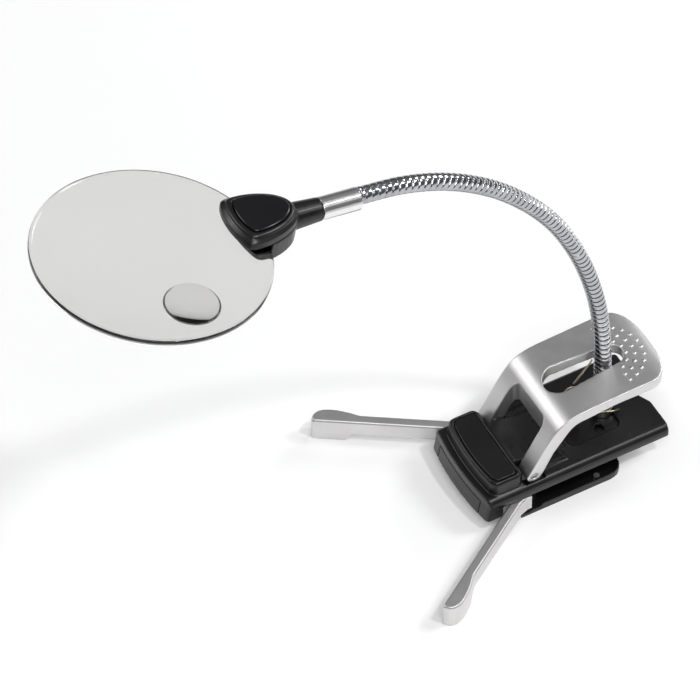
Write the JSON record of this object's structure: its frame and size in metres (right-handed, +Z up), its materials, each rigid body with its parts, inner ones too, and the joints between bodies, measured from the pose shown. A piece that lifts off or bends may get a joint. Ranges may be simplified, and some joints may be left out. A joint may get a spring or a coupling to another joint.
{
  "type": "clamp magnifying lamp",
  "caption": "Magnifying lamp: rimless round lens with close-up insert and lamp head on a flexible chrome neck, on a spring clamp with folding feet.",
  "frame": {"origin": "on the underside of the lower jaw, in the symmetry plane, below the clamp's gap; the table is z = 0", "axes": "+X along the clamp towards the grip's end, +Z up, Y across the clamp"},
  "size_m": [0.3001, 0.1276, 0.2638],
  "materials": {
    "black_plastic": "fine satin texture",
    "gloss_black": "gloss",
    "satin_silver": "satin die-cast with polished edges",
    "ferrule_silver": "turned satin",
    "neck_chrome": "polished chrome plate",
    "screw_steel": "bright zinc",
    "spring_steel": "oiled wire",
    "pad_rubber": "ribbed matt",
    "cell_steel": "bright nickel",
    "contact_brass": "bright",
    "board_green": "lacquered board",
    "led_resin": "clear resin over white",
    "clear_acrylic": "polished clear acrylic"
  },
  "bodies": {
    "clamp_body": {"upper_body": "black_plastic", "top_panel": "black_plastic", "deck_cover": "black_plastic", "deck_cover_screw_1": "screw_steel", "deck_cover_screw_2": "screw_steel", "upper_jaw_pad": "pad_rubber", "battery_contact_1": "contact_brass", "battery_contact_2": "contact_brass", "spring_coil": "spring_steel", "foot_pivot_screw_near": "screw_steel", "foot_pivot_screw_far": "screw_steel", "neck_socket": "screw_steel", "neck_length_1": "neck_chrome"},
    "drawer": {"battery_drawer": "black_plastic", "button_cell_1": "cell_steel", "button_cell_2": "cell_steel", "button_cell_3": "cell_steel"},
    "lever_and_jaw": {"lever": "satin_silver", "hinge_pin": "screw_steel", "lower_jaw": "black_plastic", "lower_jaw_pad": "pad_rubber", "jaw_screw_1": "screw_steel", "jaw_screw_2": "screw_steel", "foot_rest_peg_1": "satin_silver", "foot_rest_peg_2": "satin_silver"},
    "spring_arm": {"spring_arm": "spring_steel"},
    "foot_near": {"foot_near": "satin_silver"},
    "foot_far": {"foot_far": "satin_silver"},
    "neck_2": {"neck_length_2": "neck_chrome"},
    "neck_3": {"neck_length_3": "neck_chrome"},
    "neck_4": {"neck_length_4": "neck_chrome"},
    "neck_5": {"neck_length_5": "neck_chrome"},
    "head": {"neck_length_6": "neck_chrome", "neck_ferrule": "ferrule_silver", "head_shell": "black_plastic", "head_top": "black_plastic", "circuit_board": "board_green", "push_switch": "black_plastic", "led_1": "led_resin", "led_2": "led_resin", "head_screw_1": "screw_steel", "head_screw_2": "screw_steel", "main_lens": "clear_acrylic", "close_up_lens": "clear_acrylic"},
    "button": {"power_button": "gloss_black"}
  },
  "joints": [
    {"name": "drawer_slide", "type": "slide", "parent": "clamp_body", "child": "drawer", "axis": [-1, 0, 0], "range_m": [0, 0.0155]},
    {"name": "lever_press", "type": "hinge", "parent": "clamp_body", "child": "lever_and_jaw", "pos_m": [-0.0261, 0, 0.0212], "axis": [0, 1, 0], "range_deg": [0, 12], "stiffness_Nm_per_rad": 2, "springref_deg": -20.05},
    {"name": "spring_arm_turn", "type": "hinge", "parent": "clamp_body", "child": "spring_arm", "pos_m": [0.0078, 0, 0.031], "axis": [0, 1, 0], "range_deg": [0, 38]},
    {"name": "foot_near_fold", "type": "hinge", "parent": "clamp_body", "child": "foot_near", "pos_m": [-0.033, -0.0226, 0.008], "axis": [0, 0, 1], "range_deg": [0, 146.5]},
    {"name": "foot_far_fold", "type": "hinge", "parent": "clamp_body", "child": "foot_far", "pos_m": [-0.033, 0.0226, 0.008], "axis": [0, 0, -1], "range_deg": [0, 146.5]},
    {"name": "neck_bend_1", "type": "hinge", "parent": "clamp_body", "child": "neck_2", "pos_m": [0.01951, 0, 0.07363], "axis": [0, 1, 0], "range_deg": [-20, 20]},
    {"name": "neck_bend_2", "type": "hinge", "parent": "neck_2", "child": "neck_3", "pos_m": [0.0116, 0, 0.11656], "axis": [0.9626, 0, 0.2708], "range_deg": [-20, 20]},
    {"name": "neck_bend_3", "type": "hinge", "parent": "neck_3", "child": "neck_4", "pos_m": [-0.00411, 0, 0.15729], "axis": [0, 1, 0], "range_deg": [-20, 20]},
    {"name": "neck_bend_4", "type": "hinge", "parent": "neck_4", "child": "neck_5", "pos_m": [-0.02875, 0, 0.19326], "axis": [0.7526, 0, 0.6585], "range_deg": [-20, 20]},
    {"name": "neck_bend_5", "type": "hinge", "parent": "neck_5", "child": "head", "pos_m": [-0.06211, 0, 0.22122], "axis": [0, 1, 0], "range_deg": [-20, 20]},
    {"name": "button_press", "type": "slide", "parent": "head", "child": "button", "axis": [-0.1857, -0.0308, -0.9821], "range_m": [0, 0.0008], "stiffness_N_per_m": 500, "springref_m": -0.001}
  ],
  "couplings": [
    {"joint": "spring_arm_turn", "follows": "lever_press", "ratio": 3.1}
  ]
}
